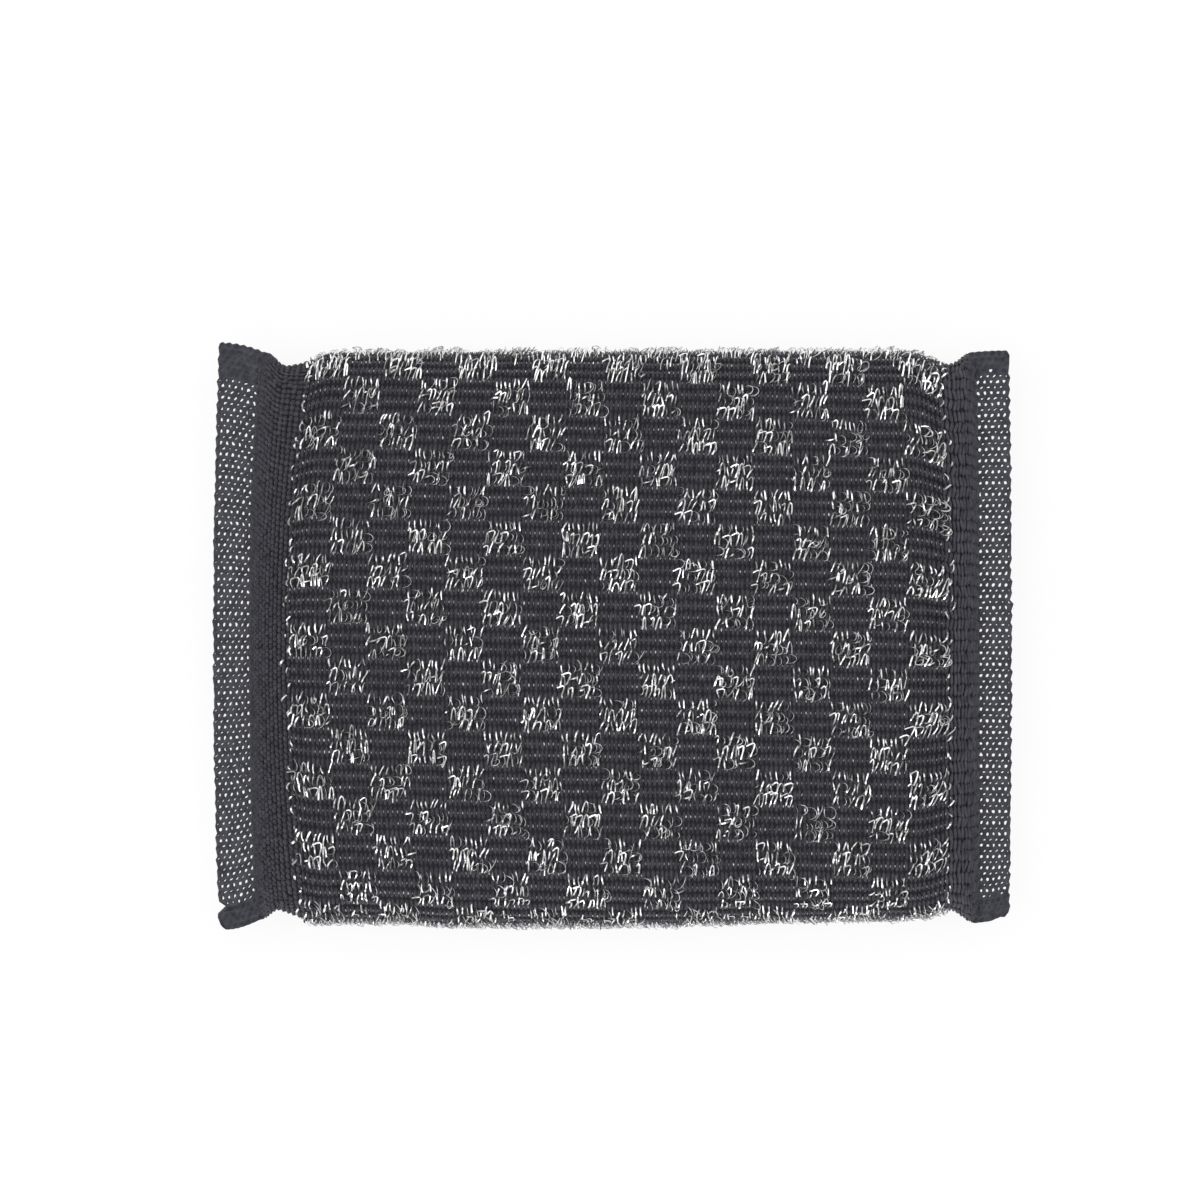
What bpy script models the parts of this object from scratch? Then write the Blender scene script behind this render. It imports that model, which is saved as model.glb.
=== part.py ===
"""Double-faced scouring pad: a woven sleeve, hemmed flat at each end, with a checker of steel wire pile.

The ribs run along X, the folds of the sleeve are at +Y and -Y, and the pad lies on its lower pile at Z = 0.
All sizes are in metres.
"""

import math

import bmesh
import bpy

# Sleeve
PAD_LENGTH = 0.120  # from one cut end to the other
BODY_WIDTH = 0.0850  # between the folds, over the rib crests
BODY_THICKNESS = 0.0160  # over the rib crests, without the pile
CROWN = 0.0006  # extra height in the middle of the upper face
END_ROUNDING = 0.0110  # length over which each end swells to the full thickness
FLARE_LENGTH = 0.0065  # length over which the folds leave the neck for the body

# Hemmed ends
LEFT_HEM = 0.0057
RIGHT_HEM = 0.0052
LEFT_BAND = 0.0061  # plain dense weave between the hem and the pile
RIGHT_BAND = 0.0050
HEM_THICKNESS = 0.0010
LEFT_NECK = 0.0029  # from the inner line of the hem to the neck, where the folds are drawn in most
RIGHT_NECK = 0.0034
NECK_DRAW = 0.0015  # how far each fold is drawn in at the neck
LEFT_EAR_REACH = 0.0015  # how far the corners of the hem stand out past the folds of the body
RIGHT_EAR_REACH = 0.0005
EAR_LENGTH = 0.0046  # solid corner of the hem, along the cut end
EAR_THICKNESS = 0.0021
LEFT_EAR_RISE = 0.50  # share of the way from neck to ear that is reached at the hem's inner line
RIGHT_EAR_RISE = 0.88
LEFT_END_BOW = 0.0008  # how far the cut end draws in at its corners
RIGHT_END_BOW = 0.0004

# See-through weave of the hems
GAP_COLUMNS = 2
GAP_PITCH = 0.0043
GAP_LENGTH = 0.0031
GAP_WIDTH = 0.0019
GAP_EDGE = 0.0006  # weave left beside the gaps, at the cut end and at the band

# Ribs and wire pile
COLUMNS = 17  # cells along the pad
ROWS = 36  # cells round the sleeve
RIBS = 3  # ribs in a cell
RIB_DEPTH = 0.0004
PILE_HEIGHT = 0.0009
PILE_SLOPE = 0.0007  # how far the sides of a wire cell lean in
ROW_START = 0.0040  # from the fold, over the upper face, to the first whole row
TWIST = 0.0008  # how far the rows wander at each end of the pile
COLUMN_BOW = 0.0011  # how far the columns bend towards +X at the folds
UPPER_PINCH = 0.052  # share by which the columns draw together at the +Y fold
LOWER_PINCH = 0.027  # the same at the -Y fold

# Facets
BAND_POINTS = 48  # round the sleeve in the plain bands, an even number
BAND_STEPS = 3  # rings between the pile and each hem
CUT_END_POINTS = 9

HALF_LENGTH = PAD_LENGTH / 2
MID_HEIGHT = BODY_THICKNESS / 2 + PILE_HEIGHT
PILE_START = -HALF_LENGTH + LEFT_HEM + LEFT_BAND
PILE_END = HALF_LENGTH - RIGHT_HEM - RIGHT_BAND
PILE_CENTRE = (PILE_START + PILE_END) / 2
CELL_LENGTH = (PILE_END - PILE_START) / COLUMNS
POINTS_IN_ROW = 2 * RIBS


def ease(share):
    """A smooth step from 0 to 1."""
    share = min(max(share, 0.0), 1.0)
    return share * share * (3 - 2 * share)


def fold_reach(x):
    """Distance from the centre line to a fold: wide at the ears, narrow at the neck, full at the body."""
    body = BODY_WIDTH / 2
    if x < PILE_CENTRE:
        ear, rise = body + LEFT_EAR_REACH, LEFT_EAR_RISE
        hem, to_neck = LEFT_HEM, LEFT_NECK
        from_end = x + HALF_LENGTH
    else:
        ear, rise = body + RIGHT_EAR_REACH, RIGHT_EAR_RISE
        hem, to_neck = RIGHT_HEM, RIGHT_NECK
        from_end = HALF_LENGTH - x
    neck = body - NECK_DRAW
    at_hem = neck + rise * (ear - neck)
    if from_end < hem:
        return ear + (at_hem - ear) * (from_end / hem) ** 2
    if from_end < hem + to_neck:
        return at_hem + (neck - at_hem) * ease((from_end - hem) / to_neck)
    return neck + NECK_DRAW * ease((from_end - hem - to_neck) / FLARE_LENGTH)


def half_thickness(x):
    """The rounded end of the stuffed sleeve: a quarter of an ellipse, no thinner than the hem."""
    from_hem = min(x + HALF_LENGTH - LEFT_HEM, HALF_LENGTH - RIGHT_HEM - x)
    short_by = 1 - min(max(from_hem / END_ROUNDING, 0.0), 1.0)
    return max(BODY_THICKNESS / 2 * math.sqrt(1 - short_by**2), HEM_THICKNESS / 2)


def drawn_in(x, y):
    """Shift along X of the weave at a place across the pad."""
    across = y / (BODY_WIDTH / 2)
    pinch = UPPER_PINCH if y > 0 else LOWER_PINCH
    column_shift = COLUMN_BOW - pinch * (min(max(x, PILE_START), PILE_END) - PILE_CENTRE)
    if x < PILE_START:
        share = (PILE_START - x) / (LEFT_HEM + LEFT_BAND)
        column_shift += (LEFT_END_BOW - column_shift) * share
    elif x > PILE_END:
        share = (x - PILE_END) / (RIGHT_HEM + RIGHT_BAND)
        column_shift += (-RIGHT_END_BOW - column_shift) * share
    return column_shift * across**2


def girth(x):
    radius = half_thickness(x)
    return 4 * (fold_reach(x) - radius) + 2 * math.pi * radius


def sleeve_point(x, share, lift=0.0):
    """A point on the sleeve. share goes once round it, from the +Y fold over the upper face.

    lift stands the point off along the section's normal.
    """
    radius = half_thickness(x)
    flat = 2 * (fold_reach(x) - radius)
    quarter = math.pi * radius / 2
    along = (share % 1.0) * girth(x)
    if along < quarter:
        turn, y = along / radius, flat / 2
    elif along < quarter + flat:
        turn, y = math.pi / 2, flat / 2 - (along - quarter)
    elif along < 3 * quarter + flat:
        turn, y = (along - flat) / radius, -flat / 2
    elif along < 3 * quarter + 2 * flat:
        turn, y = -math.pi / 2, (along - 3 * quarter - flat) - flat / 2
    else:
        turn, y = (along - 2 * flat) / radius, flat / 2
    y += (radius + lift) * math.cos(turn)
    z = (radius + lift) * math.sin(turn)
    if z > 0:
        across = min(abs(y) / (BODY_WIDTH / 2), 1.0)
        to_end = min(abs(x - PILE_CENTRE) / (CELL_LENGTH * COLUMNS / 2), 1.0)
        z += CROWN * (1 - across**2) * (1 - to_end**2) * math.sin(turn)
    return (x + drawn_in(x, y), y, MID_HEIGHT + z)


def row_share(x, row):
    """Where a row begins on the way round the sleeve; row may be a fraction."""
    wander = TWIST * (x - PILE_CENTRE) / (CELL_LENGTH * COLUMNS / 2)
    return (row - 1) / ROWS + (ROW_START + wander) / girth(x)


def column_line(bm, column):
    """The points round the sleeve between two columns of cells: a valley and a crest for each rib.

    The first and last lines have their valleys only, so that the ribs run out into the plain bands.
    """
    x = PILE_START + column * CELL_LENGTH
    inside = 0 < column < COLUMNS
    line = []
    for number in range(ROWS * POINTS_IN_ROW):
        crest = number % 2 == 1
        if crest and not inside:
            line.append(None)
            continue
        share = row_share(x, number / POINTS_IN_ROW)
        lift = 0.0 if crest or not inside else -RIB_DEPTH
        line.append(bm.verts.new(sleeve_point(x, share, lift)))
    return line


def cell_edge(line, row):
    first = row * POINTS_IN_ROW
    return [line[number % len(line)] for number in range(first, first + POINTS_IN_ROW + 1)]


def add_ribs(bm, left, right):
    """A plain cell: its ribs, between the points on its left and right edges."""
    for rib in range(RIBS):
        first = 2 * rib
        l_start, l_crest, l_end = left[first : first + 3]
        r_start, r_crest, r_end = right[first : first + 3]
        if l_crest and r_crest:
            bm.faces.new((l_start, l_crest, r_crest, r_start))
            bm.faces.new((l_crest, l_end, r_end, r_crest))
        elif r_crest:
            bm.faces.new((l_start, r_crest, r_start))
            bm.faces.new((l_start, l_end, r_crest))
            bm.faces.new((l_end, r_end, r_crest))
        else:
            bm.faces.new((r_start, l_start, l_crest))
            bm.faces.new((r_start, l_crest, r_end))
            bm.faces.new((r_end, l_crest, l_end))


def add_pile(bm, column, row, left, right):
    """A wire cell: a low block with leaning sides, on the points of the cell's edges."""
    x_left = PILE_START + column * CELL_LENGTH + PILE_SLOPE
    x_right = PILE_START + (column + 1) * CELL_LENGTH - PILE_SLOPE
    top = []
    for x, side in ((x_left, 0), (x_left, 1), (x_right, 1), (x_right, 0)):
        lean = PILE_SLOPE / girth(x)
        share = row_share(x, row + side) + (lean if side == 0 else -lean)
        top.append(bm.verts.new(sleeve_point(x, share, PILE_HEIGHT)))
    left = [vert for vert in left if vert]
    right = [vert for vert in right if vert]
    faces = [
        bm.faces.new(top),
        bm.faces.new([*left, top[1], top[0]]),
        bm.faces.new([*reversed(right), top[3], top[2]]),
        bm.faces.new((left[0], top[0], top[3], right[0])),
        bm.faces.new((left[-1], right[-1], top[2], top[1])),
    ]
    for face in faces:
        face.material_index = 1


def add_checker(bm):
    """All cells of the sleeve, and the two outer lines that the bands start from."""
    lines = [column_line(bm, column) for column in range(COLUMNS + 1)]
    for column in range(COLUMNS):
        for row in range(ROWS):
            left = cell_edge(lines[column], row)
            right = cell_edge(lines[column + 1], row)
            if (row + column) % 2 == 1:
                add_pile(bm, column, row, left, right)
            else:
                add_ribs(bm, left, right)
    return [[vert for vert in line if vert] for line in (lines[0], lines[-1])]


def loop_edges(bm, verts):
    """The edges of a closed loop of points, made where they are missing."""
    return [
        bm.edges.get((a, b)) or bm.edges.new((a, b))
        for a, b in zip(verts, [*verts[1:], verts[0]])
    ]


def band_ring(bm, x):
    shares = [(number + 0.5) / BAND_POINTS for number in range(BAND_POINTS)]
    return [bm.verts.new(sleeve_point(x, share)) for share in shares]


def hem_half_thickness(x, y):
    """Half the hem's thickness: thicker at the ears, where the folds of the sleeve are pressed flat."""
    to_tip = (fold_reach(x) - abs(y)) / EAR_LENGTH
    return (HEM_THICKNESS + (EAR_THICKNESS - HEM_THICKNESS) * (1 - ease(to_tip))) / 2


def hem_side(bm, x, ys, side):
    """Points across the hem on its upper (side 1) or lower (side -1) face."""
    verts = []
    for y in ys:
        z = MID_HEIGHT + side * hem_half_thickness(x, y)
        verts.append(bm.verts.new((x + drawn_in(x, y), y, z)))
    return verts


def across(x, count):
    reach = fold_reach(x)
    return [reach - 2 * reach * number / (count - 1) for number in range(count)]


def gap_places(cut_end, inner):
    """Centres of the gaps of one hem: staggered columns between the cut end and the band."""
    towards = 1 if inner > cut_end else -1
    hem = abs(inner - cut_end)
    room = (hem - 2 * GAP_EDGE) / GAP_COLUMNS
    reach = min(fold_reach(cut_end), fold_reach(inner)) - EAR_LENGTH
    count = int((2 * reach - GAP_LENGTH) / GAP_PITCH)
    for column in range(GAP_COLUMNS):
        x = cut_end + towards * (GAP_EDGE + (column + 0.5) * room)
        shift = GAP_PITCH / 4 if column % 2 else -GAP_PITCH / 4
        for number in range(count):
            yield x, (number - (count - 1) / 2) * GAP_PITCH + shift


def gap_loop(bm, x, y, side):
    """A lozenge between four crossing yarns, on one face of the hem."""
    corners = ((GAP_WIDTH / 2, 0), (0, GAP_LENGTH / 2), (-GAP_WIDTH / 2, 0), (0, -GAP_LENGTH / 2))
    verts = []
    for dx, dy in corners:
        z = MID_HEIGHT + side * hem_half_thickness(x, y + dy)
        verts.append(bm.verts.new((x + dx + drawn_in(x, y + dy), y + dy, z)))
    return verts


def add_wall(bm, upper, lower, closed):
    """Faces between two rows of points, one above the other."""
    count = len(upper) if closed else len(upper) - 1
    for number in range(count):
        after = (number + 1) % len(upper)
        bm.faces.new((upper[number], upper[after], lower[after], lower[number]))


def add_hem(bm, cut_end, inner):
    """The flat see-through hem. Returns the ring of points that its band joins."""
    ring = {}
    outer = {}
    gaps = {1: [], -1: []}
    for side in (1, -1):
        ring[side] = hem_side(bm, inner, across(inner, BAND_POINTS // 2), side)
        outer[side] = hem_side(bm, cut_end, across(cut_end, CUT_END_POINTS), side)
        edges = loop_edges(bm, [*ring[side], *reversed(outer[side])])
        for x, y in gap_places(cut_end, inner):
            loop = gap_loop(bm, x, y, side)
            edges += loop_edges(bm, loop)
            gaps[side].append(loop)
        bmesh.ops.triangle_fill(bm, use_beauty=True, edges=edges, normal=(0, 0, side))
    for upper, lower in zip(gaps[1], gaps[-1]):
        add_wall(bm, upper, lower, closed=True)
    add_wall(bm, outer[1], outer[-1], closed=False)
    for tip in (0, -1):
        bm.faces.new((ring[1][tip], outer[1][tip], outer[-1][tip], ring[-1][tip]))
    return [*ring[1], *reversed(ring[-1])]


def add_end(bm, pile_line, cut_end, inner):
    """One end of the sleeve: the band, in rings from the pile inwards, and the hem."""
    ring = pile_line
    x_pile = PILE_START if cut_end < 0 else PILE_END
    for step in range(1, BAND_STEPS + 1):
        following = band_ring(bm, x_pile + (inner - x_pile) * step / (BAND_STEPS + 1))
        edges = loop_edges(bm, ring) + loop_edges(bm, following)
        bmesh.ops.bridge_loops(bm, edges=edges)
        ring = following
    hem_ring = add_hem(bm, cut_end, inner)
    edges = loop_edges(bm, ring) + loop_edges(bm, hem_ring)
    bmesh.ops.bridge_loops(bm, edges=edges)


def make_material(name, colour, roughness, metallic):
    material = bpy.data.materials.new(name)
    material.use_nodes = True
    material.diffuse_color = (*colour, 1.0)
    shader = material.node_tree.nodes["Principled BSDF"]
    shader.inputs["Base Color"].default_value = (*colour, 1.0)
    shader.inputs["Roughness"].default_value = roughness
    shader.inputs["Metallic"].default_value = metallic
    return material


def make_pad():
    bm = bmesh.new()
    left_line, right_line = add_checker(bm)
    add_end(bm, left_line, -HALF_LENGTH, -HALF_LENGTH + LEFT_HEM)
    add_end(bm, right_line, HALF_LENGTH, HALF_LENGTH - RIGHT_HEM)
    bmesh.ops.recalc_face_normals(bm, faces=bm.faces)
    mesh = bpy.data.meshes.new("scouring_pad")
    bm.to_mesh(mesh)
    bm.free()
    mesh.materials.append(make_material("black_weave", (0.042, 0.040, 0.050), 0.8, 0.0))
    mesh.materials.append(make_material("steel_wire", (0.62, 0.62, 0.63), 0.3, 1.0))
    pad = bpy.data.objects.new("scouring_pad", mesh)
    bpy.context.scene.collection.objects.link(pad)


def main():
    for obj in list(bpy.data.objects):
        bpy.data.objects.remove(obj)
    make_pad()


main()
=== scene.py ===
"""Looks of a double-faced scouring pad: a stuffed woven sleeve with see-through hems and steel wire pile.

Pieces of the cloth are laid out flat and then wrapped round the stuffed sleeve. Sizes are in metres.
"""

import math

import bmesh
import bpy
import numpy as np
from mathutils import Matrix, Vector


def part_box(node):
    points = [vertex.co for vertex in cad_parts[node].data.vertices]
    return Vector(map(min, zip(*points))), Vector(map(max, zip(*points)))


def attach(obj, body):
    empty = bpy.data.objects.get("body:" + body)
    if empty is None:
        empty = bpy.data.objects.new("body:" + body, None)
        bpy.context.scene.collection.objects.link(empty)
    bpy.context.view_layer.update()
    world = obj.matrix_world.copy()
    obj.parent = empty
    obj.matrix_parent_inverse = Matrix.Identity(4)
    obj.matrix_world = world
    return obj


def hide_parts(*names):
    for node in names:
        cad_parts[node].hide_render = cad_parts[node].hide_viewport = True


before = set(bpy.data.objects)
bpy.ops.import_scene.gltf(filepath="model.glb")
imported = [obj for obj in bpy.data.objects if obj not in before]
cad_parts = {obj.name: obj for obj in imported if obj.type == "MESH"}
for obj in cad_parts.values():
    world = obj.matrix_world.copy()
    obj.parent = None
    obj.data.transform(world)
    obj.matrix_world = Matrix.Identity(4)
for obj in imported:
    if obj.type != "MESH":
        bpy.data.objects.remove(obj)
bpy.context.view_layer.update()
LOW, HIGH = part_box("scouring_pad")

MM = 0.001
rng = np.random.RandomState(4)

# Sizes taken from the frame
HALF_LENGTH = (HIGH.x - LOW.x) / 2
EAR_WIDTH = HIGH.y - LOW.y

# Sizes of the sleeve, as in the solid
PILE_HEIGHT = 0.9 * MM
CROWN = 0.6 * MM
THICKNESS = HIGH.z - LOW.z - CROWN - 2 * PILE_HEIGHT
MID_HEIGHT = THICKNESS / 2 + PILE_HEIGHT
BODY_WIDTH = 85 * MM
NECK_DRAW = 1.5 * MM
LEFT_NECK = 2.9 * MM
RIGHT_NECK = 3.4 * MM
LEFT_EAR_REACH = (EAR_WIDTH - BODY_WIDTH) / 2
RIGHT_EAR_REACH = 0.5 * MM
LEFT_EAR_RISE = 0.50
RIGHT_EAR_RISE = 0.88
EAR_LENGTH = 4.6 * MM
EAR_THICKNESS = 2.1 * MM
LEFT_HEM = 5.7 * MM
RIGHT_HEM = 5.2 * MM
LEFT_BAND = 6.1 * MM
RIGHT_BAND = 5.0 * MM
HEM_THICKNESS = 1.0 * MM
END_ROUNDING = 11 * MM
FLARE_LENGTH = 6.5 * MM
LEFT_END_BOW = 0.8 * MM
RIGHT_END_BOW = 0.4 * MM
LEFT_LINE_DRAW = 0.7 * MM  # draws the inner line of the hem back towards the cut end, between the folds
RIGHT_LINE_DRAW = 0.49 * MM
COLUMNS = 17
ROWS = 36
RIBS = 3
ROW_START = 4.0 * MM
TWIST = 0.8 * MM
COLUMN_BOW = 1.1 * MM
UPPER_PINCH = 0.052
LOWER_PINCH = 0.027

PILE_START = -HALF_LENGTH + LEFT_HEM + LEFT_BAND
PILE_END = HALF_LENGTH - RIGHT_HEM - RIGHT_BAND
PILE_CENTRE = (PILE_START + PILE_END) / 2
PILE_HALF = (PILE_END - PILE_START) / 2
CELL_LENGTH = 2 * PILE_HALF / COLUMNS

# Yarns. A yarn's size is the width, length and height of one swelling of it, in millimetres
STRANDS = 140  # yarn strands side by side in the length of the pile
STRAND_PITCH = 2 * PILE_HALF / STRANDS
CLOTH_DEPTH = 0.30 * MM  # how far the base cloth lies under the plain form
RIB_YARN = (0.60, 1.74, 0.90)
RIB_LIFT = -0.25 * MM
BAND_LIFT = -0.20 * MM
BAND_OVERLAP = 0.1 * MM  # over the hem
LEFT_WEAVE = {
    "size": (0.64, 1.02, 0.65),
    "pitch": 0.75 * MM,  # from line to line
    "around": 6 * ROWS,  # swellings in a line
    "stagger": 0.5,  # of every second line, in swellings
    "lean": 36,  # degrees, at the +Y fold
    "zigzag": 7,
}
RIGHT_WEAVE = {
    "size": (0.57, 2.20, 0.68),
    "pitch": 0.71 * MM,
    "around": 3 * ROWS,
    "stagger": 0.0,
    "lean": 0,
    "zigzag": 7,
}

# Wire
RIBBON = 0.07 * MM  # thickness of the flat wire
WALES = 8  # loops side by side in a cell
CURLS_IN_CELL = 5  # most curls that run over a crumpled cell
LOWEST_WIRE = 0.03 * MM  # above the floor

# Hems
NET_PITCH = 0.85 * MM  # rows of holes
NET_THICKNESS = 0.62 * MM
NET_DIMPLE = 0.25 * MM
NET_OVERLAP = 0.5 * MM  # over the plain band
TIP = 0.5 * MM  # the tips of the ears keep their line
NICK_LENGTH = 1.4 * MM
WAVE_HEIGHT = 0.18 * MM
WAVE_SPREAD = 9 * MM

# Photograph
PIXEL = 0.15 * MM
FRAME_PIXELS = 1200
PAD_CENTRE_PIXELS = (612.5, 636)


# The form of the stuffed sleeve


def ease(share):
    share = np.clip(share, 0, 1)
    return share * share * (3 - 2 * share)


def fold_reach(x):
    """Distance from the centre line to a fold."""
    left = x < PILE_CENTRE
    body = BODY_WIDTH / 2
    neck = body - NECK_DRAW
    ear = body + np.where(left, LEFT_EAR_REACH, RIGHT_EAR_REACH)
    hem = np.where(left, LEFT_HEM, RIGHT_HEM)
    to_neck = np.where(left, LEFT_NECK, RIGHT_NECK)
    from_end = HALF_LENGTH - np.abs(x)
    at_hem = neck + np.where(left, LEFT_EAR_RISE, RIGHT_EAR_RISE) * (ear - neck)
    in_hem = ear + (at_hem - ear) * np.clip(from_end / hem, 0, 1) ** 2
    in_band = at_hem + (neck - at_hem) * ease((from_end - hem) / to_neck)
    in_body = neck + NECK_DRAW * ease((from_end - hem - to_neck) / FLARE_LENGTH)
    return np.where(from_end < hem, in_hem, np.where(from_end < hem + to_neck, in_band, in_body))


def half_thickness(x):
    """Half of the sleeve's thickness, which ends round at both hems."""
    from_hem = np.minimum(x + HALF_LENGTH - LEFT_HEM, HALF_LENGTH - RIGHT_HEM - x)
    short_by = 1 - np.clip(from_hem / END_ROUNDING, 0, 1)
    return np.maximum(THICKNESS / 2 * np.sqrt(1 - short_by**2), HEM_THICKNESS / 2)


def drawn_in(x, y):
    """Shift along X of the weave at a place across the pad."""
    across = y / (BODY_WIDTH / 2)
    pinch = np.where(y > 0, UPPER_PINCH, LOWER_PINCH)
    shift = COLUMN_BOW - pinch * (np.clip(x, PILE_START, PILE_END) - PILE_CENTRE)
    to_left = np.clip((PILE_START - x) / (LEFT_HEM + LEFT_BAND), 0, 1)
    to_right = np.clip((x - PILE_END) / (RIGHT_HEM + RIGHT_BAND), 0, 1)
    shift = shift + (LEFT_END_BOW - shift) * to_left
    shift = shift + (-RIGHT_END_BOW - shift) * to_right
    at_line = RIGHT_LINE_DRAW * np.sin(math.pi * to_right) - LEFT_LINE_DRAW * np.sin(math.pi * to_left)
    return (shift + at_line * (1 - np.minimum(across**2, 1) ** 6)) * across**2


# Places along the pad and how far the folds stand out there past the plain form, in millimetres
UPPER_FOLD = (
    (-57, 0), (-53.5, 0), (-51.5, -0.6), (-49.5, -0.4), (-46, 0),
    (48, 0.2), (50, 0.1), (51.5, -0.3), (56, -0.2),
)
LOWER_FOLD = (
    (-57, 0), (-52, -0.1), (-50.5, 0.7), (-48, 1.1), (-46, 0.5), (-42, 0.2), (-33, 0.4), (-27, 0.8),
    (0, 0.85), (10, 0.6), (20, 0.2), (37, -0.1), (46, -0.3), (50, 0), (52.5, 0.7), (55, 0.2), (57, -0.2),
    (58.5, -0.9), (60, -0.9),
)


def stands_out(x, y):
    """How far the uneven folds shift a place across the pad."""
    weight = np.clip(np.abs(y) / (BODY_WIDTH / 2), 0, 1) ** 6
    upper = np.interp(x / MM, *zip(*UPPER_FOLD)) * MM
    lower = np.interp(x / MM, *zip(*LOWER_FOLD)) * MM
    return weight * np.where(y > 0, upper, -lower)


def girth(x):
    """Way round the sleeve."""
    radius = half_thickness(x)
    return 4 * (fold_reach(x) - radius) + 2 * math.pi * radius


def sleeve_points(x, way):
    """Points on the sleeve. way goes once round it, from the +Y fold over the upper face."""
    radius = half_thickness(x)
    flat = 2 * (fold_reach(x) - radius)
    quarter = math.pi * radius / 2
    along = (way % 1.0) * (2 * flat + 4 * quarter)
    stretches = [
        along < quarter,
        along < quarter + flat,
        along < 3 * quarter + flat,
        along < 3 * quarter + 2 * flat,
    ]
    turn = np.select(
        stretches,
        [along / radius, math.pi / 2, (along - flat) / radius, -math.pi / 2],
        (along - 2 * flat) / radius,
    )
    y = np.select(
        stretches,
        [flat / 2, flat / 2 + quarter - along, -flat / 2, along - 3 * quarter - 1.5 * flat],
        flat / 2,
    )
    y = y + radius * np.cos(turn)
    z = radius * np.sin(turn)
    across = np.minimum(np.abs(y) / (BODY_WIDTH / 2), 1)
    to_end = np.minimum(np.abs(x - PILE_CENTRE) / PILE_HALF, 1)
    crown = CROWN * (1 - across**2) * (1 - to_end**2) * np.maximum(np.sin(turn), 0)
    return np.stack([x + drawn_in(x, y), y + stands_out(x, y), MID_HEIGHT + z + crown], axis=-1)


def off_sleeve(x, way, lift):
    """Points that stand off the sleeve by lift, square to its surface."""
    step = 0.05 * MM
    turn = step / girth(x)
    along = sleeve_points(x + step, way) - sleeve_points(x - step, way)
    round_it = sleeve_points(x, way + turn) - sleeve_points(x, way - turn)
    normal = np.cross(round_it, along)
    normal /= np.maximum(np.linalg.norm(normal, axis=-1, keepdims=True), 1e-12)
    return sleeve_points(x, way) + normal * lift[..., None]


def row_way(x, row):
    """Where a row lies on the way round the sleeve."""
    wander = TWIST * np.clip((x - PILE_CENTRE) / PILE_HALF, -1, 1)
    return (row - 1) / ROWS + (ROW_START + wander) / girth(x)


ROW_PITCH = float(girth(np.array(PILE_CENTRE))) / ROWS
FOLD_ROW = 1 - ROW_START / ROW_PITCH  # row at the +Y fold; the other fold lies half way round


# Mesh helpers


def coordinates(mesh):
    flat = np.empty(len(mesh.vertices) * 3)
    mesh.vertices.foreach_get("co", flat)
    return flat.reshape(-1, 3)


def set_coordinates(mesh, points):
    mesh.vertices.foreach_set("co", np.asarray(points, np.float64).ravel())
    mesh.update()


def piece(name, mesh, material, smooth=True):
    """A finished piece of the pad, which stands for the plain solid."""
    mesh.materials.clear()
    mesh.materials.append(material)
    if smooth:
        mesh.shade_smooth()
    obj = bpy.data.objects.new(name, mesh)
    bpy.context.scene.collection.objects.link(obj)
    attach(obj, "root")
    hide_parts("scouring_pad")
    return obj


def rotation(axis, degrees):
    return Matrix.Rotation(math.radians(degrees), 3, axis)


def mesh_from(bm, name):
    mesh = bpy.data.meshes.new(name)
    bm.to_mesh(mesh)
    bm.free()
    return mesh


def in_fixed_order(parts, key):
    """Sorts vertices or faces, because extruding makes them in another order on each run."""
    for number, part in enumerate(sorted(parts, key=key)):
        part.index = number
    parts.sort()


def copies(blank, count, name):
    """One mesh that holds count copies of a small blank."""
    bm = bmesh.new()
    for _ in range(count):
        bm.from_mesh(blank)
    return mesh_from(bm, name)


def face_outwards(mesh):
    """Turns the faces round, because laying a piece on the sleeve mirrors it: the rows run towards -Y."""
    mesh.flip_normals()


# Base cloth


def sleeve_cloth(material):
    """The closed cloth that the rib yarns lie on, stuffed tight. It is coloured darker than the yarns:
    painted shade in the gaps between them.
    """
    steps, round_steps = 84, 144
    start = -HALF_LENGTH + LEFT_HEM
    end = HALF_LENGTH - RIGHT_HEM
    bm = bmesh.new()
    bmesh.ops.create_grid(bm, x_segments=steps, y_segments=round_steps, size=0.5)
    mesh = mesh_from(bm, "sleeve_cloth")
    flat = coordinates(mesh)
    share = flat[:, 0] + 0.5
    bunched = 0.5 - 0.5 * np.cos(math.pi * share)
    x = start + (end - start) * (0.35 * share + 0.65 * bunched)
    way = flat[:, 1] + 0.5
    under = np.full(len(x), -CLOTH_DEPTH)
    under[(share < 1e-6) | (share > 1 - 1e-6)] = 0
    set_coordinates(mesh, off_sleeve(x, way, under))
    bm = bmesh.new()
    bm.from_mesh(mesh)
    bmesh.ops.remove_doubles(bm, verts=bm.verts, dist=1e-6)
    bmesh.ops.holes_fill(bm, edges=[e for e in bm.edges if e.is_boundary], sides=0)
    bmesh.ops.recalc_face_normals(bm, faces=bm.faces)
    bm.to_mesh(mesh)
    bm.free()
    cloth = piece("sleeve_cloth", mesh, material)
    return cloth


# Rib yarns


def yarn_blank(size):
    """A short swelling of yarn, pointed at both ends, along Y."""
    bm = bmesh.new()
    bmesh.ops.create_uvsphere(bm, u_segments=4, v_segments=3, radius=0.5)
    bmesh.ops.rotate(bm, verts=bm.verts, cent=(0, 0, 0), matrix=rotation("X", 90))
    bmesh.ops.scale(bm, verts=bm.verts, vec=[length * MM for length in size])
    return mesh_from(bm, "yarn_blank")


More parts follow.
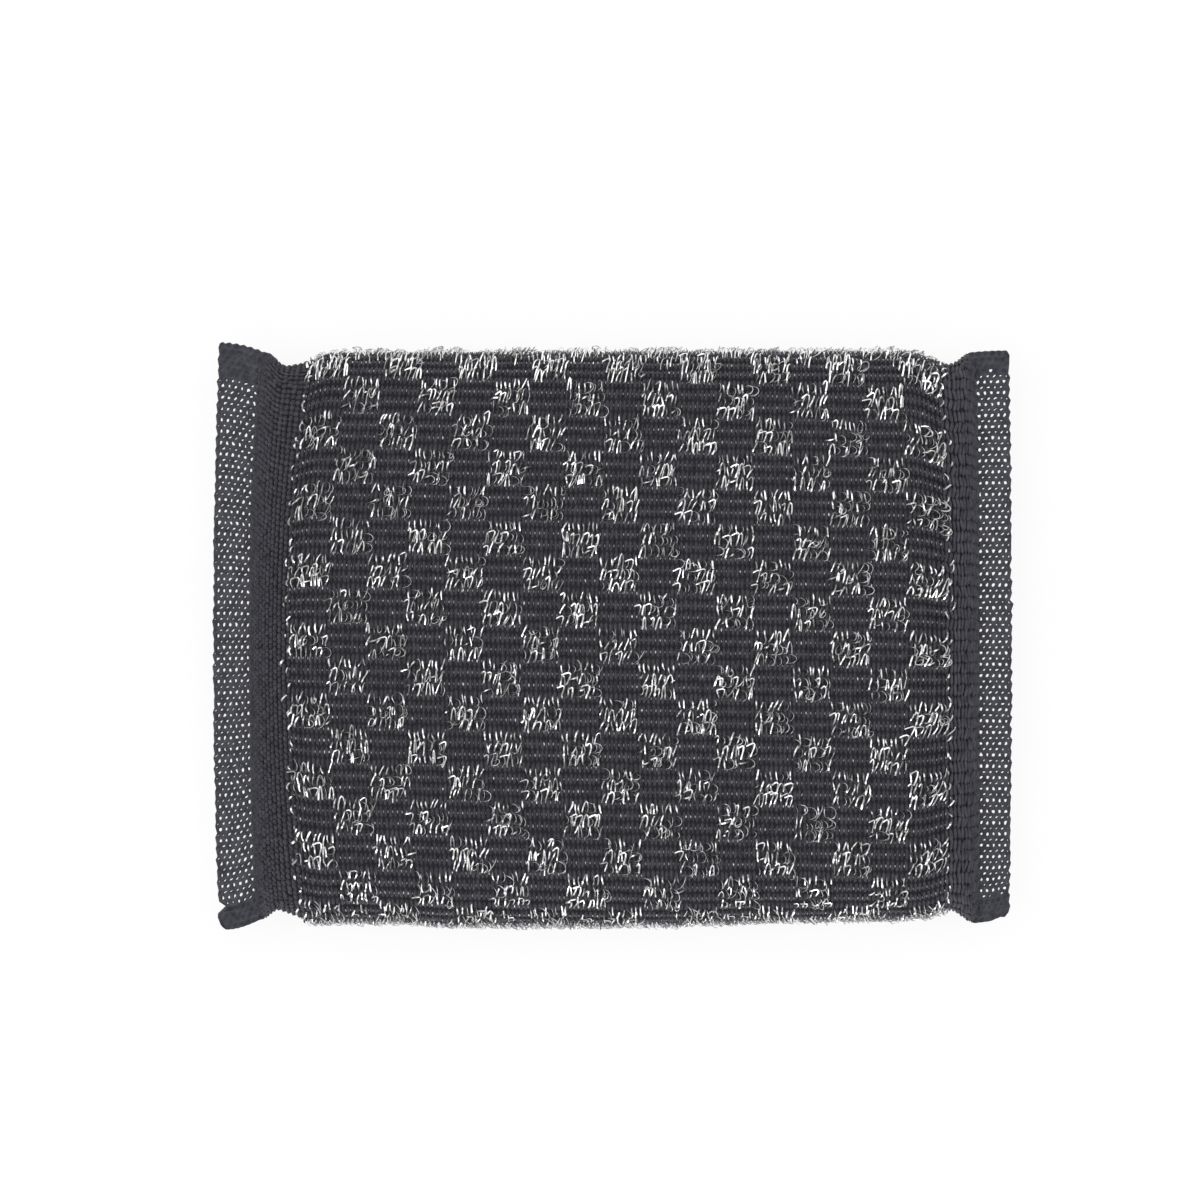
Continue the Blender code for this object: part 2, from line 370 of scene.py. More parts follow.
def lay_yarns(name, blank, x, row, lift, tilt, size, material):
    """Lays a copy of the blank at each place on the sleeve. tilt turns it in the plane of the cloth."""
    mesh = copies(blank, len(x), name)
    local = coordinates(mesh).reshape(len(x), -1, 3) * size[:, None, None]
    cos, sin = np.cos(tilt)[:, None], np.sin(tilt)[:, None]
    along = local[..., 0] * cos - local[..., 1] * sin
    down = local[..., 0] * sin + local[..., 1] * cos
    at_x = x[:, None] + along
    at_row = row[:, None] + down / ROW_PITCH
    points = off_sleeve(at_x, row_way(at_x, at_row), lift[:, None] + local[..., 2])
    set_coordinates(mesh, points.reshape(-1, 3))
    face_outwards(mesh)
    return piece(name, mesh, material)


def rib_yarns(material):
    """Swellings of yarn side by side, which make the ribs of both faces."""
    blank = yarn_blank(RIB_YARN)
    strand, rib = np.meshgrid(np.arange(STRANDS), np.arange(ROWS * RIBS))
    strand, rib = strand.ravel(), rib.ravel()
    count = len(strand)
    x = PILE_START + (strand + 0.5 + rng.uniform(-0.06, 0.06, count)) * STRAND_PITCH
    row = (rib + rng.uniform(-0.05, 0.05, count)) / RIBS
    lift = RIB_LIFT + rng.uniform(-0.05, 0.05, count) * MM
    tilt = np.radians(rng.normal(2.0, 4.5, count))
    size = rng.uniform(0.94, 1.06, count)
    for name, first, last in (("rib_yarns_upper", 0, ROWS // 2), ("rib_yarns_lower", ROWS // 2, ROWS)):
        here = (rib // RIBS >= first) & (rib // RIBS < last)
        lay_yarns(name, blank, x[here], row[here], lift[here], tilt[here], size[here], material)


# Steel wire


def wire_blank(steps):
    """A straight flat wire of three sides and of unit length, along Z."""
    bm = bmesh.new()
    bmesh.ops.create_cone(bm, cap_ends=True, segments=3, radius1=0.5, radius2=0.5, depth=1)
    bmesh.ops.rotate(bm, verts=bm.verts, cent=(0, 0, 0), matrix=rotation("Z", 180))
    upright = [e for e in bm.edges if abs(e.verts[0].co.z - e.verts[1].co.z) > 0.5]
    bmesh.ops.subdivide_edges(bm, edges=upright, cuts=steps - 1, use_grid_fill=True)
    return mesh_from(bm, "wire_blank")


def bent(local, bends, width, thick, twist):
    """Bends straight wires along Bezier curves. bends holds five points for each wire."""
    t = np.clip(local[..., 2] + 0.5, 0, 1)
    pairs = ((1, 0), (4, 1), (6, 2), (4, 3), (1, 4))
    path = sum(
        (n * t**k * (1 - t) ** (4 - k))[..., None] * bends[:, None, k] for n, k in pairs
    )
    legs = bends[:, 1:] - bends[:, :-1]
    heading = sum(
        (n * t**k * (1 - t) ** (3 - k))[..., None] * legs[:, None, k]
        for n, k in ((1, 0), (3, 1), (3, 2), (1, 3))
    )
    heading /= np.maximum(np.linalg.norm(heading, axis=-1, keepdims=True), 1e-12)
    side = np.cross(heading, np.array([0, 0, 1.0]))
    side /= np.maximum(np.linalg.norm(side, axis=-1, keepdims=True), 1e-9)
    up = np.cross(side, heading)
    angle = twist[:, None, 0] + twist[:, None, 1] * t
    cos, sin = np.cos(angle)[..., None], np.sin(angle)[..., None]
    flat_way = side * cos + up * sin
    thin_way = up * cos - side * sin
    across = local[..., 0:1] * width[:, None, None]
    through = local[..., 1:2] * thick[:, None, None]
    return path + flat_way * across + thin_way * through


def lay_wires(name, steps, x, row, bends, width, thick, twist, material, flat):
    """Lays bent wires on the sleeve; their bends are given along X, down the rows and off the cloth."""
    mesh = copies(wire_blank(steps), len(x), name)
    local = coordinates(mesh).reshape(len(x), -1, 3)
    points = bent(local, bends, width, thick, twist)
    at_x = x[:, None] + points[..., 0]
    at_row = row[:, None] + points[..., 1] / ROW_PITCH
    points = off_sleeve(at_x, row_way(at_x, at_row), points[..., 2])
    points[..., 2] = np.maximum(points[..., 2], LOWEST_WIRE)
    set_coordinates(mesh, points.reshape(-1, 3))
    return piece(name, mesh, material, smooth=not flat)


# Each kind of loop: five points in millimetres along X, down the rows and off the cloth
STROKES = {
    "dash": (
        (-0.02, -1.00, -0.1), (-0.08, -0.60, 0.9), (0.0, 0.0, 1.0), (0.08, 0.55, 0.9), (0.12, 0.85, -0.1),
    ),
    "slash": (
        (-0.25, 1.05, -0.1), (-0.2, 0.6, 1.0), (0.0, 0.0, 1.1), (0.2, -0.6, 1.1), (0.35, -1.0, 0.6),
    ),
    "seven": (
        (-0.15, 1.1, -0.1), (0.0, 0.4, 1.2), (0.9, -2.0, 1.1), (-0.1, -1.0, 1.1), (-0.7, -0.6, 0.6),
    ),
    "hairpin": (
        (-0.35, 1.0, -0.1), (-0.2, -0.4, 1.2), (0.2, -2.6, 1.2), (0.5, -0.6, 1.1), (0.35, 0.9, 0.0),
    ),
    "bar": (
        (-0.7, 0.35, -0.1), (-0.4, 0.15, 1.1), (0.0, 0.05, 1.2), (0.4, -0.15, 1.1), (0.7, -0.35, 0.2),
    ),
}
ARCS = {
    "bow": (
        (-0.1, -0.95, -0.1), (0.3, -0.7, 1.2), (0.8, 0.0, 1.3), (0.3, 0.7, 1.2), (-0.2, 0.95, -0.1),
    ),
    "arc": (
        (-0.4, -0.9, -0.1), (0.7, -1.3, 1.2), (1.4, 0.0, 1.3), (0.8, 1.3, 1.2), (-0.5, 0.8, -0.1),
    ),
    "curl": (
        (0.0, 0.2, -0.2), (1.5, -1.4, 1.3), (1.3, 1.7, 1.3), (-1.2, 1.3, 1.2), (0.3, -0.8, 0.6),
    ),
    "tail": (
        (-0.7, 1.3, -0.1), (0.5, 1.1, 1.2), (0.5, -0.6, 1.4), (0.9, -0.9, 1.4), (0.9, -1.5, 0.3),
    ),
}

# Shares of the strokes, each added to those of the kinds before it
FIRST_COURSE = [0.70, 0.94, 0.97, 1.0]
OTHER_COURSES = [0.16, 0.50, 0.78, 0.94]


def near_fold(row):
    """1 where the pile turns over a fold of the sleeve, and 0 on the faces."""
    away = np.abs((row - FOLD_ROW + ROWS / 4) % (ROWS / 2) - ROWS / 4)
    return 1 - ease((away - 0.3) / 0.7)


def wire_cells():
    """Columns and rows of the cells with pile, and how crumpled the wire is in each."""
    column, row = np.meshgrid(np.arange(COLUMNS), np.arange(ROWS))
    column, row = column.ravel(), row.ravel()
    piled = (row + column) % 2 == 1
    return column[piled], row[piled], rng.uniform(0, 1, piled.sum())


def shaken(kinds, patterns, shake):
    """Bends of each wire after its pattern, each wire a little different."""
    count = len(kinds)
    bends = np.array([patterns[kind] for kind in kinds]) * MM
    bends[:, :, 0] *= rng.uniform(0.4, 1.4, (count, 1))
    bends[:, :, 1] *= rng.uniform(0.62, 1.0, (count, 1))
    bends[:, 1:4, :2] += rng.normal(0, shake, (count, 3, 2)) * MM
    bends[:, 1:4, 2] *= rng.uniform(0.7, 1.0, (count, 1))
    return bends


def lay_pile(name, steps, row, wires, material, flat):
    """The wires of both faces, in a piece for each."""
    for side, first, last in (("upper", 0, ROWS // 2), ("lower", ROWS // 2, ROWS)):
        here = (row >= first) & (row < last)
        lay_wires(f"{name}_{side}", steps, *(part[here] for part in wires), material, flat)


def wire_loops(cells):
    """Every loop of the pile, a course for each rib of a cell, and which of them lie flat side up."""
    cell, order = np.meshgrid(np.arange(len(cells[0])), np.arange(RIBS * WALES))
    column, row, crumpled = (part[cell.ravel()] for part in cells)
    course, wale = np.divmod(order.ravel(), WALES)
    across = (wale + 0.5) / WALES
    edge_on = np.where(course == 0, 0.10 + 0.25 * crumpled, 0.12 + 0.75 * across * crumpled)
    flat = rng.uniform(0, 1, len(row)) > edge_on
    return flat, (column, row, course, across)


def wire_strokes(loops, material):
    """Flat bright wires that stand up in courses, one loop at each yarn strand."""
    column, row, course, across = loops
    shown = rng.uniform(0, 1, len(row)) > 0.4 * near_fold(row + course / RIBS)
    column, row, course, across = column[shown], row[shown], course[shown], across[shown]
    count = len(row)
    names = np.array(list(STROKES))
    shares = np.where((course == 0)[:, None], [FIRST_COURSE], [OTHER_COURSES])
    kinds = names[(rng.uniform(0, 1, (count, 1)) > shares).sum(axis=1)]
    bends = shaken(kinds, STROKES, 0.13)
    place = row + (course + 0.45) / RIBS + rng.normal(0, 0.03, count)
    thinner = near_fold(place)
    bends[:, :, 2] *= 1 - 0.2 * thinner[:, None]
    width = rng.uniform(0.17, 0.27, count) * (1 - 0.30 * thinner) * MM
    thick = np.full(count, RIBBON)
    twist = np.stack([rng.normal(0, 0.25, count), rng.normal(0, 0.45, count)], axis=1)
    x = PILE_START + (column + across) * CELL_LENGTH + rng.normal(0, 0.10, count) * MM
    lay_pile("wire_strokes", 6, row, (x, place, bends, width, thick, twist), material, flat=True)


def wire_arcs(loops, cells, material):
    """Thin wires seen edge-on: loops turned on their side, and curls that run over the crumpled cells.
    Their steel is a darker, warmer copy of the wire: painted shade.
    """
    column, row, course, across = loops
    curled = np.repeat(np.arange(len(cells[0])), CURLS_IN_CELL)
    curled = curled[rng.uniform(0, 1, len(curled)) < 0.2 + 0.8 * cells[2][curled]]
    curls = len(curled)
    kinds = np.concatenate([
        rng.choice(["bow", "arc"], len(row), p=[0.6, 0.4]),
        rng.choice(["arc", "curl", "tail"], curls, p=[0.4, 0.3, 0.3]),
    ])
    down = rng.choice([0.2, 0.5, 0.8], curls, p=[0.2, 0.4, 0.4])
    place = np.concatenate([row + (course + 0.5) / RIBS, cells[1][curled] + down])
    place = place + rng.normal(0, 0.04, len(kinds))
    x = np.concatenate([column + across, cells[0][curled] + rng.beta(2.0, 1.2, curls)])
    x = PILE_START + x * CELL_LENGTH
    row = np.concatenate([row, cells[1][curled]])
    bends = shaken(kinds, ARCS, 0.10)
    bends[:, :, 2] *= 1 - 0.15 * near_fold(place)[:, None]
    count = len(kinds)
    width = rng.uniform(0.12, 0.17, count) * MM
    twist = np.stack([rng.uniform(0, 3, count), rng.normal(0, 0.6, count)], axis=1)
    lay_pile("wire_arcs", 8, row, (x, place, bends, width, 0.7 * width, twist), material, flat=False)


def stray_wires(material):
    """Single loops that stand in the plain bands, just past both ends of the pile."""
    row, side = (grid.ravel() for grid in np.meshgrid(np.arange(3 * ROWS) / 3, (-1, 1)))
    count = len(row)
    kinds = rng.choice(["dash", "slash"], count)
    bends = shaken(kinds, STROKES, 0.15)
    bends[..., 0] += 0.2 * bends[..., 1] * rng.normal(0, 1, (count, 1))
    bends *= rng.uniform(0.4, 0.8, (count, 1, 1))
    end = np.where(side < 0, PILE_START, PILE_END)
    x = end + side * np.abs(rng.normal(0, 0.55, count)) * MM
    width = rng.uniform(0.20, 0.30, count) * MM
    thick = np.full(count, RIBBON)
    twist = rng.normal(0, 0.3, (count, 2))
    place = row + rng.uniform(0, 0.3, count)
    lay_wires("stray_wires", 4, x, place, bends, width, thick, twist, material, flat=True)


def fold_wires(material):
    strand, turn = (grid.ravel() for grid in np.meshgrid(np.arange(STRANDS), (0, 1)))
    kept = rng.uniform(0, 1, len(strand)) > 0.55 - 0.15 * turn + 0.3 * np.sin(strand / 4.5 + 2 * turn)
    strand, turn = strand[kept], turn[kept]
    count = len(strand)
    place = FOLD_ROW + turn * ROWS / 2 + (1 - 2 * turn) * rng.normal(0.85, 0.12, count)
    bends = shaken(rng.choice(["dash", "slash", "seven"], count, p=[0.45, 0.4, 0.15]), STROKES, 0.13)
    width = rng.uniform(0.16, 0.25, count) * MM
    twist = rng.normal(0, 0.3, (count, 2))
    x = PILE_START + (strand + 0.5) * STRAND_PITCH
    thick = np.full(count, RIBBON)
    lay_wires("fold_wires", 5, x, place, bends, width, thick, twist, material, flat=True)


def fold_fuzz(material):
    """Fine loose fibres that stand off both folds. The fibres are real; their light grey colour is painted
    light that brightens both folds.
    """
    count = 1100
    place = FOLD_ROW + rng.choice([0, ROWS / 2], count, p=[0.22, 0.78]) + rng.normal(0, 0.30, count)
    x = rng.uniform(PILE_START, PILE_END, count)
    bends = shaken(rng.choice(["arc", "curl", "tail"], count), ARCS, 0.3)
    bends[:, :, :2] *= rng.uniform(0.4, 0.9, (count, 1, 1))
    bends[:, :, 2] *= rng.uniform(0.3, 0.65, (count, 1))
    width = rng.uniform(0.035, 0.07, count) * MM
    twist = rng.uniform(0, 3, (count, 2))
    fuzz = lay_wires("fold_fuzz", 5, x, place, bends, width, width, twist, material, flat=False)


def wire_picks(bright, shaded_steel):
    """Short stretches of the wire that show in the valleys between the yarns of the plain cells. Most take
    a darker copy of the steel, which is painted shade; the rest are bright steel.
    """
    strand, valley = np.meshgrid(np.arange(STRANDS + 1), np.arange(ROWS * RIBS))
    strand, valley = strand.ravel(), valley.ravel()
    x = PILE_START + strand * STRAND_PITCH
    column = np.clip((x - PILE_START) / CELL_LENGTH, 0, COLUMNS - 1).astype(int)
    depth = rng.normal(-0.04, 0.11, (ROWS * RIBS, COLUMNS))[valley, column] * MM
    plain = (valley // RIBS + column) % 2 == 0
    x, valley, depth = x[plain], valley[plain], depth[plain]
    bm = bmesh.new()
    bmesh.ops.create_uvsphere(bm, u_segments=4, v_segments=2, radius=0.5)
    bmesh.ops.scale(bm, verts=bm.verts, vec=(0.32 * MM, 0.74 * MM, 0.40 * MM))
    blank = mesh_from(bm, "pick_blank")
    count = len(x)
    lift = depth + rng.normal(0, 0.05, count) * MM
    tilt = np.radians(rng.normal(0, 8, count))
    size = rng.uniform(0.55, 1.1, count)
    # Painted shade: most picks get the darker copy of the steel, and a few get the bright steel.
    shown_lit = rng.uniform(0, 1, count) < 0.16
    for name, here, material in (("bright_picks", shown_lit, bright), ("shaded_picks", ~shown_lit, shaded_steel)):
        row = valley[here] / RIBS
        picks = lay_yarns(name, blank, x[here], row, lift[here], tilt[here], size[here], material)


# Plain bands


def band_yarns(name, inner, outer, weave, material):
    """The plain close weave between the pile and a hem, in lines round the sleeve."""
    table_x = np.linspace(inner, outer, 200)
    heights = half_thickness(table_x)
    lengths = np.concatenate([[0], np.cumsum(np.hypot(np.diff(table_x), np.diff(heights)))])
    lines = int(lengths[-1] / weave["pitch"])
    line, number = np.meshgrid(np.arange(lines + 1), np.arange(weave["around"]))
    line, number = line.ravel(), number.ravel()
    x = np.interp((line + 0.35) / (lines + 0.7) * lengths[-1], lengths, table_x)
    count = len(x)
    x = x + rng.normal(0, 0.03, count) * MM
    turn = number + weave["stagger"] * (line % 2) + rng.normal(0, 0.06, count)
    row = ROWS * turn / weave["around"]
    lift = BAND_LIFT + rng.uniform(-0.05, 0.05, count) * MM
    across = sleeve_points(x, row_way(x, row))[:, 1] / (BODY_WIDTH / 2)
    every_second = line if weave["stagger"] else number
    lean = weave["zigzag"] * (-1.0) ** every_second - weave["lean"] * np.clip(across, 0, 1) ** 2
    upper = (row % ROWS) < ROWS / 2
    tilt = np.radians(np.where(upper, lean, -lean) + rng.normal(0, 5, count))
    size = rng.uniform(0.92, 1.08, count)
    lay_yarns(name, yarn_blank(weave["size"]), x, row, lift, tilt, size, material)


# Hems


# Each ear: its length without holes, the rounding of its corner, the depth of the nick beside it, its knobs
LEFT_EARS = {
    "upper": {"solid": 4.9 * MM, "round": 0.15 * MM, "nick": 0.0 * MM, "knobs": 0.13},
    "lower": {"solid": 3.3 * MM, "round": 1.2 * MM, "nick": 1.7 * MM, "knobs": 0.02},
}
RIGHT_EARS = {
    "upper": {"solid": 3.1 * MM, "round": 0.3 * MM, "nick": 0.0 * MM, "knobs": 0.05},
    "lower": {"solid": 3.8 * MM, "round": 0.9 * MM, "nick": 0.0 * MM, "knobs": 0.02},
}


def ear_at(y, shape):
    """The ear on the same side of the centre line."""
    return shape["upper"] if y > 0 else shape["lower"]


def honeycomb(columns, rows, shape):
    """A flat sheet of six-sided cells in staggered rows, of unit size, with an uneven cut end at -X."""
    bm = bmesh.new()
    bmesh.ops.create_grid(bm, x_segments=2 * columns, y_segments=rows, size=0.5)
    half, tall = 1 / (2 * columns), 1 / rows
    joints = []
    for edge in bm.edges:
        a, b = (v.co for v in edge.verts)
        if abs(a.x - b.x) > half / 2:
            continue
        place = round((a.x + 0.5) / half)
        row = round(((a.y + b.y) / 2 + 0.5) / tall - 0.5)
        if 0 < place < 2 * columns and (place + row) % 2 == 1:
            joints.append(edge)
    for vert in bm.verts:
        place = round((vert.co.x + 0.5) / half)
        row = round((vert.co.y + 0.5) / tall)
        knob = 0.16 if 0 < row < rows else ear_at(vert.co.y, shape)["knobs"]
        vert.co.y += knob * tall * (1 if (place + row) % 2 == 0 else -1)
        if place == 0:
            vert.co.x += half * (0.45 if row % 2 else 0.0) + abs(rng.normal(0, 0.12)) * half
    bmesh.ops.dissolve_edges(bm, edges=joints, use_verts=False)
    return bm


def row_at(face, reach, rows):
    """Row of a cell of the net."""
    return round((face.calc_center_median().y / (2 * reach) + 0.5) * rows - 0.5)


def open_cells(bm, length, reach, rows, towards, shape):
    """Sinks each cell and opens those between the ears. Rows of big and small holes take turns."""
    cells = [face for face in bm.faces if len(face.verts) > 5]
    yarn_widths = [0.335, 0.36, 0.385, 0.415]
    groups = [[] for _ in yarn_widths]
    for face in cells:
        big = row_at(face, reach, rows) % 2
        groups[rng.randint(0, 2) + (0 if big else 2)].append(face)
    for group, width in zip(groups, yarn_widths):
        bmesh.ops.inset_individual(bm, faces=group, thickness=width * MM, depth=0)
    dimple = bm.verts.layers.float.new("dimple")
    holes = []
    for face in cells:
        centre = face.calc_center_median()
        solid_to = reach - ear_at(centre.y, shape)["solid"]
        skew, stretch = (0.15, 1.14) if row_at(face, reach, rows) % 2 else (0.6, 0.88)
        for vert in face.verts:
            vert[dimple] = 1.0 if abs(centre.y) < solid_to else 1.9
            vert.co.x += skew * (vert.co.y - centre.y) * towards
            vert.co.y = centre.y + stretch * (vert.co.y - centre.y)
        in_ear = abs(centre.y) > solid_to + rng.normal(0, 0.15) * MM
        if not in_ear and centre.x < length / 2 - NET_THICKNESS:
            holes.append(face)
    bmesh.ops.delete(bm, geom=holes, context="FACES")
    return dimple


def hem_net(name, cut_end, hem, columns, shape, material):
    """The woven net of one hem: open holes between its yarns, and thick closed ears at its corners."""
    towards = 1 if cut_end < 0 else -1
    reach = float(fold_reach(np.array(cut_end)))
    length = hem + NET_OVERLAP
    rows = int(2 * reach / NET_PITCH)
    bm = honeycomb(columns, rows, shape)
    bmesh.ops.scale(bm, verts=bm.verts, vec=(length, 2 * reach, 1))
    for vert in bm.verts:
        if abs(vert.co.y) < reach - TIP:
            vert.co.x += rng.normal(0, 0.05) * MM
            vert.co.y += rng.normal(0, 0.04) * MM
    dimple = open_cells(bm, length, reach, rows, towards, shape)
    made = bmesh.ops.extrude_face_region(bm, geom=list(bm.faces), use_keep_orig=True)
    lower = {v for v in made["geom"] if isinstance(v, bmesh.types.BMVert)}
    for vert in bm.verts:
        from_cut = (vert.co.x + length / 2) / length
        x = cut_end + towards * (vert.co.x + length / 2)
        there = float(fold_reach(np.array(x)))
        y = vert.co.y * there / reach
        to_tip = there - abs(y)
        ear = ear_at(y, shape)
        past = max(0.0, 1 - to_tip / ear["round"])
        rounded = ear["round"] * (1 - math.sqrt(max(0.0, 1 - past**2)))
        nick = ear["nick"] * max(0.0, 1 - abs(to_tip - ear["solid"]) / (NICK_LENGTH / 2))
        x += towards * (rounded + nick) * (1 - from_cut) ** 2
        in_ear = 1 - float(ease(to_tip / EAR_LENGTH))
        thick = NET_THICKNESS + (EAR_THICKNESS - NET_THICKNESS) * in_ear
        z = (thick / 2 - NET_DIMPLE * vert[dimple]) * (-1 if vert in lower else 1)
        wave = WAVE_HEIGHT * math.sin(y / WAVE_SPREAD)
        at_x, at_y = np.array(x), np.array(y)
        y += float(stands_out(at_x, at_y))
        vert.co = (x + float(drawn_in(at_x, at_y)), y, MID_HEIGHT + z + wave)
    bmesh.ops.recalc_face_normals(bm, faces=bm.faces)
    in_fixed_order(bm.verts, lambda vert: vert.co[:])
    in_fixed_order(bm.faces, lambda face: sorted(vert.index for vert in face.verts))
    return piece(name, mesh_from(bm, name), material)


# Materials


def shader_of(name):
    material = bpy.data.materials.new(name)
    material.use_nodes = True
    return material, material.node_tree.nodes, material.node_tree.links


def uneven_colour(nodes, links, size, detail, dark, light, light_from):
    """Base colour in small patches from dark to light. Returns the pattern and its coordinates."""
    place = nodes.new("ShaderNodeTexCoord")
    patches = nodes.new("ShaderNodeTexNoise")
    patches.inputs["Scale"].default_value = size
    patches.inputs["Detail"].default_value = detail
    links.new(place.outputs["Object"], patches.inputs["Vector"])
    ramp = nodes.new("ShaderNodeValToRGB")
    ramp.color_ramp.elements[0].position = 0.3
    ramp.color_ramp.elements[0].color = (*dark, 1)
    ramp.color_ramp.elements[1].position = light_from
    ramp.color_ramp.elements[1].color = (*light, 1)
    links.new(patches.outputs["Fac"], ramp.inputs["Fac"])
    links.new(ramp.outputs["Color"], nodes["Principled BSDF"].inputs["Base Color"])
    return patches, place


def woven_yarn(name, dark, light, gloss=0.2):
    """Charcoal polyester yarn: dull, with a faint sheen and fine filaments."""
    material, nodes, links = shader_of(name)
    shader = nodes["Principled BSDF"]
    shader.inputs["Roughness"].default_value = 0.62
    shader.inputs["Specular IOR Level"].default_value = gloss
    shader.inputs["Sheen Weight"].default_value = 0.12
    shader.inputs["Sheen Roughness"].default_value = 0.4
    _, place = uneven_colour(nodes, links, 900, 3, dark, light, 0.7)
    filaments = nodes.new("ShaderNodeTexNoise")
    filaments.inputs["Scale"].default_value = 5000
    links.new(place.outputs["Object"], filaments.inputs["Vector"])
    bump = nodes.new("ShaderNodeBump")
    bump.inputs["Strength"].default_value = 0.5
    bump.inputs["Distance"].default_value = 0.05 * MM
    links.new(filaments.outputs["Fac"], bump.inputs["Height"])
    links.new(bump.outputs["Normal"], shader.inputs["Normal"])
    return material


def steel(name, dark, light):
    """Bright flattened steel wire."""
    material, nodes, links = shader_of(name)
    shader = nodes["Principled BSDF"]
    shader.inputs["Metallic"].default_value = 1.0
    patches, _ = uneven_colour(nodes, links, 700, 2, dark, light, 0.6)
    rough = nodes.new("ShaderNodeMapRange")
    rough.inputs["To Min"].default_value = 0.22
    rough.inputs["To Max"].default_value = 0.42
    links.new(patches.outputs["Fac"], rough.inputs["Value"])
    links.new(rough.outputs["Result"], shader.inputs["Roughness"])
    return material


def white_floor():
    """A white floor that keeps a soft shadow. The camera and gloss see it lifted towards pure white."""
    bm = bmesh.new()
    bmesh.ops.create_grid(bm, x_segments=1, y_segments=1, size=3.0)
    mesh = mesh_from(bm, "floor")
    floor = bpy.data.objects.new("floor", mesh)
    bpy.context.scene.collection.objects.link(floor)
    material, nodes, links = shader_of("white_floor")
    shader = nodes["Principled BSDF"]
    shader.inputs["Base Color"].default_value = (0.95, 0.95, 0.95, 1)
    shader.inputs["Roughness"].default_value = 0.9
    shader.inputs["Specular IOR Level"].default_value = 0.0
    glow = nodes.new("ShaderNodeEmission")
    glow.inputs["Color"].default_value = (1, 1, 1, 1)
    glow.inputs["Strength"].default_value = 1.0
    path = nodes.new("ShaderNodeLightPath")
    seen = nodes.new("ShaderNodeMath")
    seen.operation = "MAXIMUM"
    links.new(path.outputs["Is Camera Ray"], seen.inputs[0])
    links.new(path.outputs["Is Glossy Ray"], seen.inputs[1])
    share = nodes.new("ShaderNodeMath")
    share.operation = "MULTIPLY"
    share.inputs[1].default_value = 0.88
    links.new(seen.outputs["Value"], share.inputs[0])
    mix = nodes.new("ShaderNodeMixShader")
    links.new(share.outputs["Value"], mix.inputs["Fac"])
    links.new(shader.outputs["BSDF"], mix.inputs[1])
    links.new(glow.outputs["Emission"], mix.inputs[2])
    links.new(mix.outputs["Shader"], nodes["Material Output"].inputs["Surface"])
    mesh.materials.append(material)


def studio():
    """Soft light from all round, under one long softbox overhead."""
    world = bpy.data.worlds.new("studio")
    bpy.context.scene.world = world
    world.use_nodes = True
    nodes, links = world.node_tree.nodes, world.node_tree.links
    dim = nodes["Background"]
    dim.inputs["Color"].default_value = (1, 1, 1, 1)
    dim.inputs["Strength"].default_value = 0.25
    bright = nodes.new("ShaderNodeBackground")
    bright.inputs["Strength"].default_value = 1.0
    path = nodes.new("ShaderNodeLightPath")
    mix = nodes.new("ShaderNodeMixShader")
    links.new(path.outputs["Is Camera Ray"], mix.inputs["Fac"])
    links.new(dim.outputs["Background"], mix.inputs[1])
    links.new(bright.outputs["Background"], mix.inputs[2])
    links.new(mix.outputs["Shader"], nodes["World Output"].inputs["Surface"])
    for name, place, size, power in (
        ("broad_softbox", (-0.15, 0.15, 1.35), (2.4, 1.6), 22.5),
        ("left_strip", (-0.90, 0.05, 0.55), (0.25, 1.0), 1.2),
        ("right_strip", (0.90, 0.00, 0.55), (0.25, 1.0), 0.8),
        ("upper_strip", (0.0, 0.90, 0.22), (1.0, 0.25), 1.9),
        ("lower_strip", (0.0, -0.90, 0.22), (1.0, 0.25), 4.9),
    ):
        lamp = bpy.data.lights.new(name, "AREA")
        lamp.shape = "RECTANGLE"
        lamp.size, lamp.size_y = size
        lamp.energy = power
        obj = bpy.data.objects.new(name, lamp)
        obj.location = place
        aim = (-Vector(place)).to_track_quat("-Z", "Y")
        obj.rotation_euler = aim.to_euler()
        bpy.context.scene.collection.objects.link(obj)


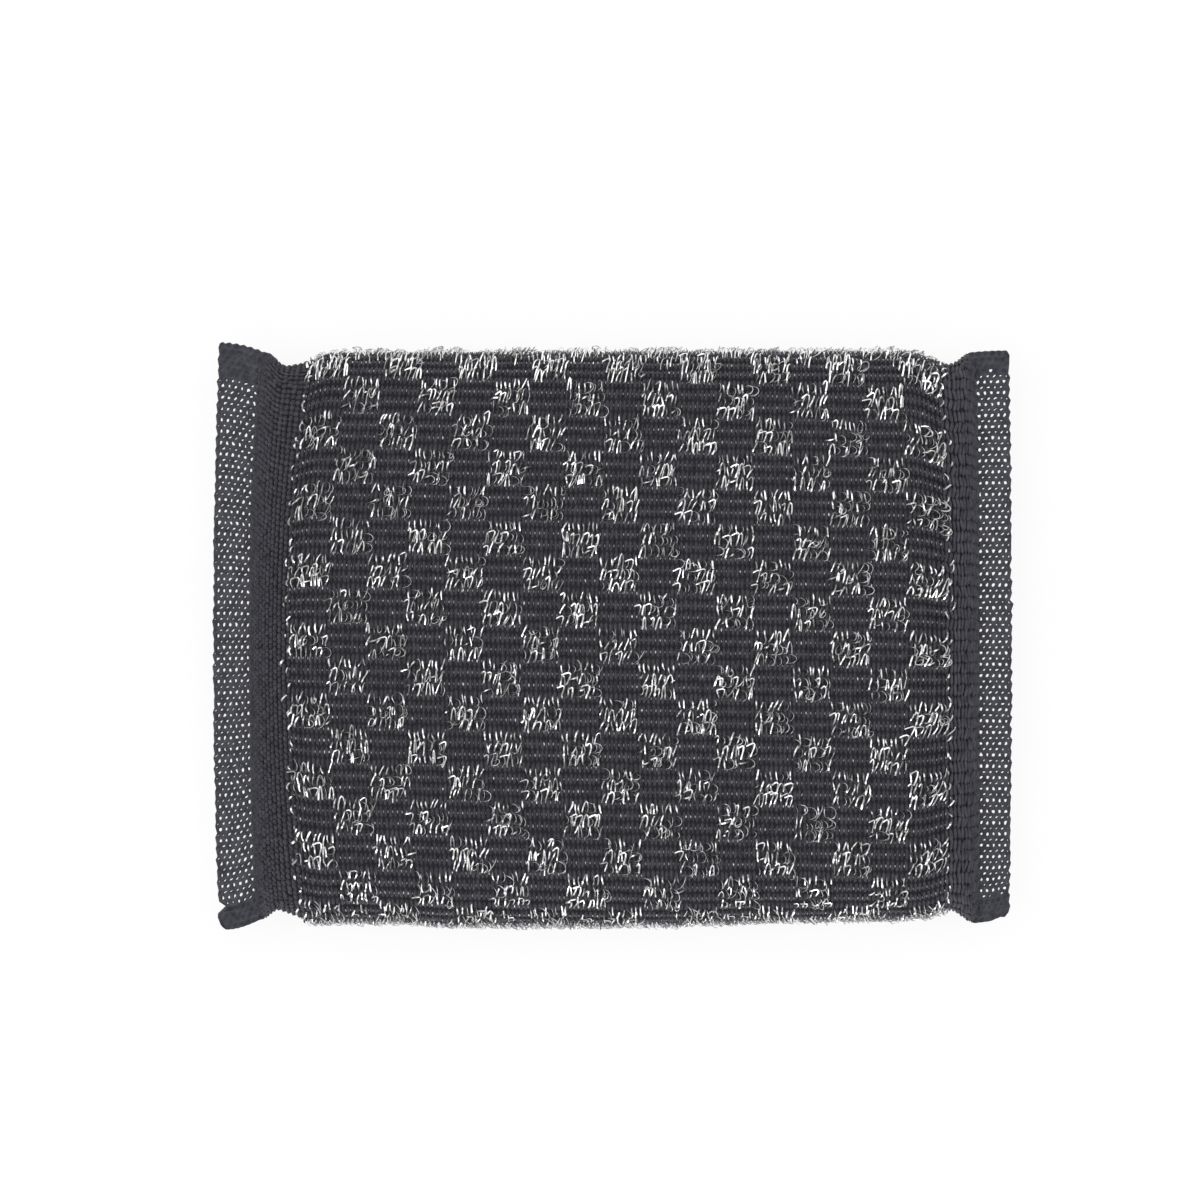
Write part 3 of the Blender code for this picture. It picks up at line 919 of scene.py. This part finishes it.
def camera():
    """Straight down, with the pad where it lies in the photograph."""
    distance = 1.2
    data = bpy.data.cameras.new("camera")
    data.lens = data.sensor_width * (distance - MID_HEIGHT) / (FRAME_PIXELS * PIXEL)
    data.clip_start = 0.05
    obj = bpy.data.objects.new("camera", data)
    bpy.context.scene.collection.objects.link(obj)
    obj.location = (
        (FRAME_PIXELS / 2 - PAD_CENTRE_PIXELS[0]) * PIXEL,
        (PAD_CENTRE_PIXELS[1] - FRAME_PIXELS / 2) * PIXEL,
        distance,
    )
    bpy.context.scene.camera = obj


def main():
    bpy.context.scene.view_settings.view_transform = "Standard"
    camera()
    studio()
    white_floor()
    yarn = woven_yarn("rib_yarn", (0.030, 0.029, 0.037), (0.070, 0.067, 0.084))
    # The base cloth is coloured much darker than the rib yarn: painted shade for the gaps between the
    # yarns.
    shaded_ground = woven_yarn("ground_cloth_painted_shade", (0.013, 0.013, 0.016), (0.024, 0.023, 0.028), 0.08)
    left_yarn = woven_yarn("left_band_yarn", (0.027, 0.026, 0.033), (0.061, 0.059, 0.073))
    right_yarn = woven_yarn("right_band_yarn", (0.035, 0.034, 0.043), (0.078, 0.075, 0.092))
    # The loose fibres are coloured far lighter than the charcoal yarn: painted light that lifts the dark
    # parts of both folds.
    sheen_lit_fibre = woven_yarn("loose_fibre_painted_sheen", (0.14, 0.14, 0.16), (0.30, 0.30, 0.33))
    hem_yarn = woven_yarn("hem_yarn", (0.028, 0.029, 0.036), (0.068, 0.070, 0.084))
    wire = steel("steel_wire", (0.46, 0.44, 0.42), (0.96, 0.96, 0.97))
    # A darker, warmer copy of the same steel: painted shade on the wires seen edge-on and deep in the pile.
    shaded_arc_wire = steel("shaded_arc_wire", (0.34, 0.31, 0.29), (0.86, 0.86, 0.87))
    # A darker copy of the same steel: painted shade for the wire that lies in the valleys.
    shaded_wire = steel("shaded_wire", (0.10, 0.10, 0.11), (0.42, 0.42, 0.43))
    sleeve_cloth(shaded_ground)
    rib_yarns(yarn)
    left_line, right_line = -HALF_LENGTH + LEFT_HEM, HALF_LENGTH - RIGHT_HEM
    band_yarns("band_yarns_left", PILE_START, left_line - BAND_OVERLAP, LEFT_WEAVE, left_yarn)
    band_yarns("band_yarns_right", PILE_END, right_line + BAND_OVERLAP, RIGHT_WEAVE, right_yarn)
    wire_picks(wire, shaded_wire)
    cells = wire_cells()
    flat, loops = wire_loops(cells)
    wire_strokes([part[flat] for part in loops], wire)
    wire_arcs([part[~flat] for part in loops], cells, shaded_arc_wire)
    stray_wires(wire)
    fold_wires(wire)
    fold_fuzz(sheen_lit_fibre)
    hem_net("hem_net_left", -HALF_LENGTH, LEFT_HEM, 7, LEFT_EARS, hem_yarn)
    hem_net("hem_net_right", HALF_LENGTH, RIGHT_HEM, 6, RIGHT_EARS, hem_yarn)


main()
